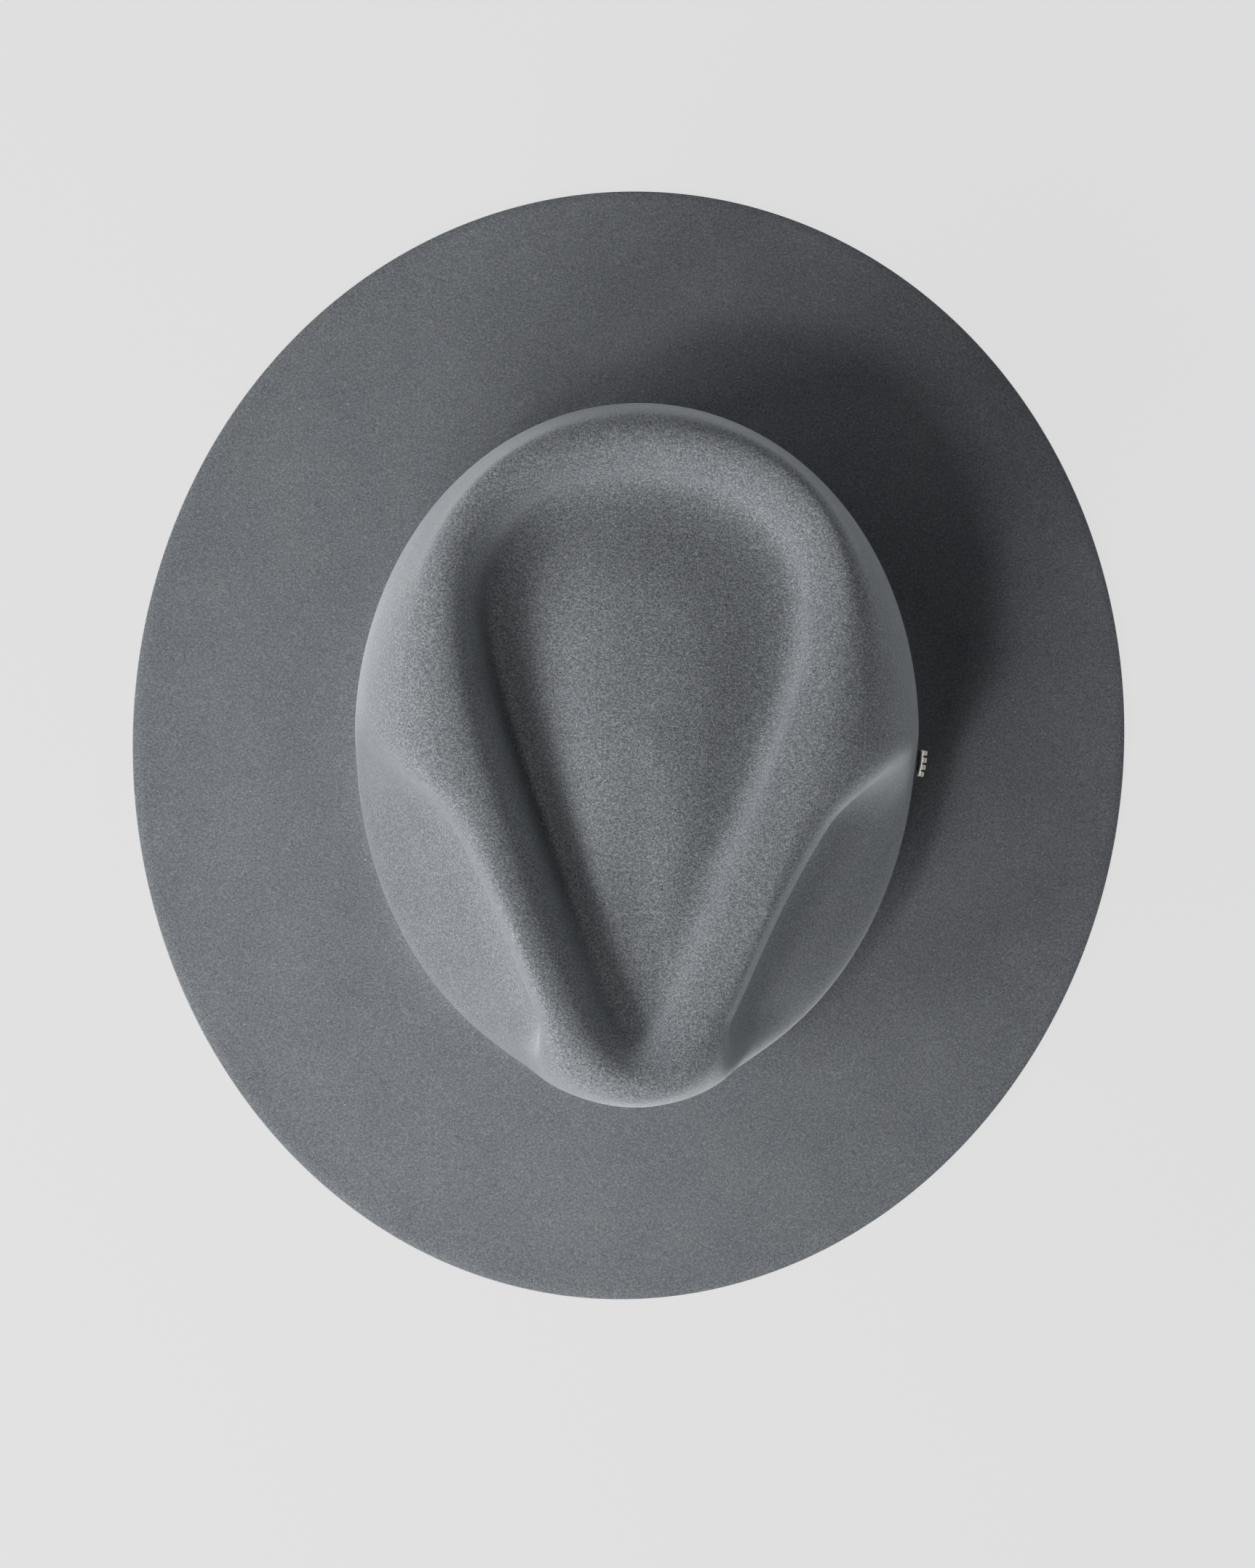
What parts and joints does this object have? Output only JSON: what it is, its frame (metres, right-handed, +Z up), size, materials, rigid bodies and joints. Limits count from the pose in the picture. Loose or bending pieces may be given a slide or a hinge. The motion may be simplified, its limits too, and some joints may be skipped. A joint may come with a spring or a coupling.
{
  "type": "fedora hat",
  "caption": "Wide-brimmed felt fedora with a teardrop crown, pinched front, ribbon band, side badge, leather sweatband and satin lining.",
  "frame": {"origin": "centre of the hat's outline on the surface it rests on, z = 0 at the underside of the brim's edge", "axes": "+X to the wearer's left, +Y to the back of the hat, +Z up through the crown"},
  "size_m": [0.3209, 0.3586, 0.113],
  "materials": {
    "felt": "short-napped grey fur felt, matt, faintly bluish",
    "ribbon": "dark grey ribbed grosgrain",
    "badge_metal": "satin warm silver",
    "sweatband_leather": "dark brown sheepskin, smooth, low gloss",
    "reed_plastic": "clear-white extruded plastic cord",
    "tag": "plain off-white woven tag, blank",
    "lining_satin": "charcoal satin, soft sheen"
  },
  "bodies": {
    "root": {"felt_body": "felt", "hatband_ribbon": "ribbon", "ribbon_keeper": "ribbon", "badge_plate": "badge_metal", "sweatband_leather": "sweatband_leather", "sweatband_tape": "ribbon", "sweatband_reed": "reed_plastic", "sweatband_bow_loops": "ribbon", "sweatband_bow_knot": "ribbon", "size_tag": "tag", "lining_side": "lining_satin", "lining_tip": "lining_satin"}
  },
  "joints": []
}
